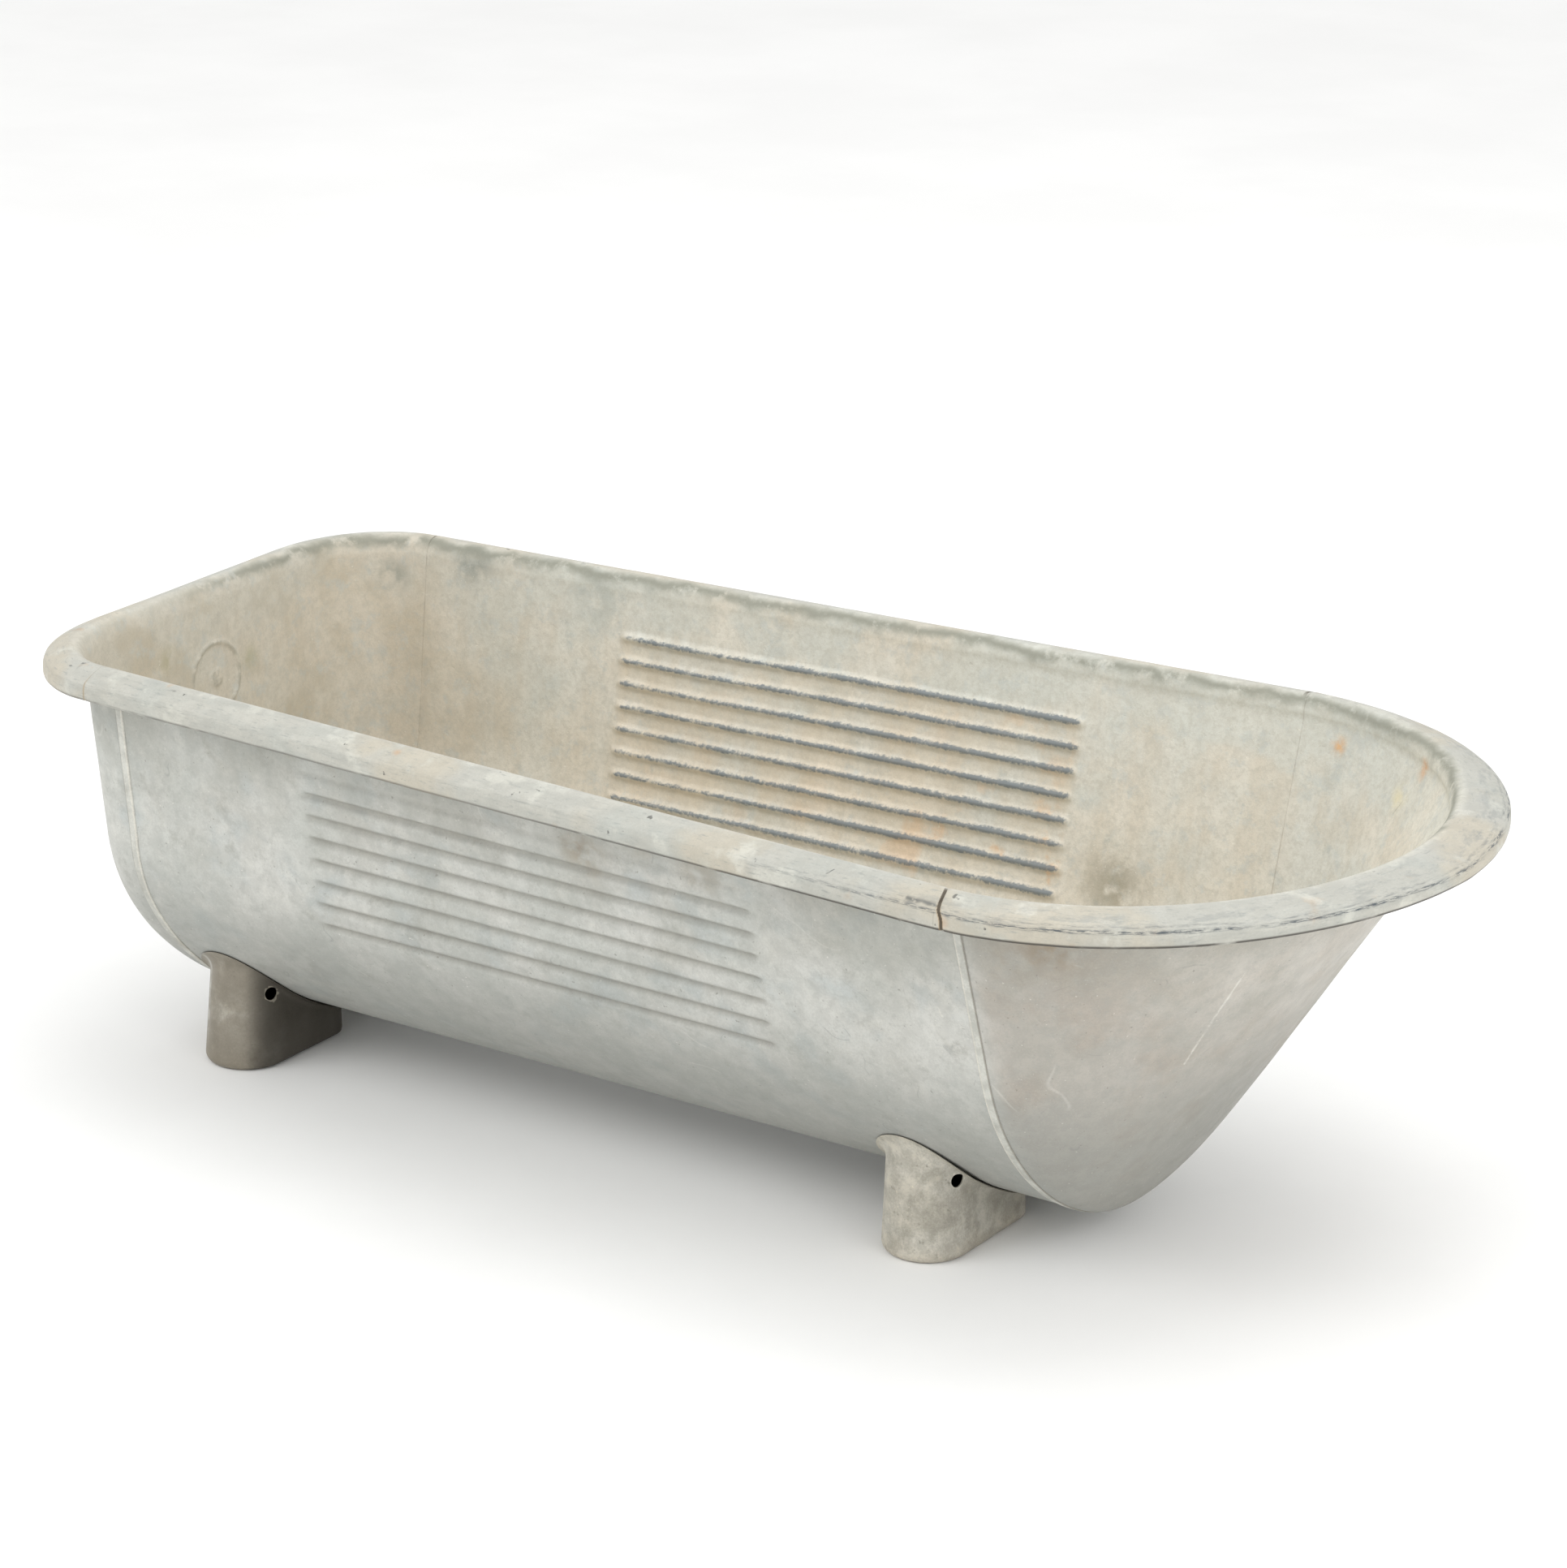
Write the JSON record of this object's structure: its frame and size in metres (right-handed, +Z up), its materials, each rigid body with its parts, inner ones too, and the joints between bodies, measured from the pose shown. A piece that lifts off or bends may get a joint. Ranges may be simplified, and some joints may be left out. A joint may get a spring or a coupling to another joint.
{
  "type": "livestock water trough",
  "caption": "Long galvanised bath reused as a water trough, with one upright end, one sloping rounded end, a rolled rim, washboard ribs and hollow feet.",
  "frame": {"origin": "on the floor under the middle of the overall length and width", "axes": "+X runs from the upright end to the sloping end, +Z is up, -Y is the near long side"},
  "size_m": [1.601, 0.7585, 0.4749],
  "materials": {
    "tub_sheet": "weathered hot-dip zinc, matte",
    "seam": "weathered hot-dip zinc, matte",
    "foot_sheet": "weathered hot-dip zinc, darker",
    "rim_wire": "plain iron wire, hidden in the rim"
  },
  "bodies": {
    "root": {"body_sheet": "tub_sheet", "upright_end_panel": "tub_sheet", "sloping_end_panel": "tub_sheet", "upright_end_seam": "seam", "sloping_end_seam": "seam", "rim_wire_near": "rim_wire", "rim_wire_far": "rim_wire", "rim_wire_upright_end": "rim_wire", "rim_wire_sloping_end": "rim_wire", "foot_near_rear": "foot_sheet", "foot_far_rear": "foot_sheet", "foot_near_front": "foot_sheet", "foot_far_front": "foot_sheet"}
  },
  "joints": []
}
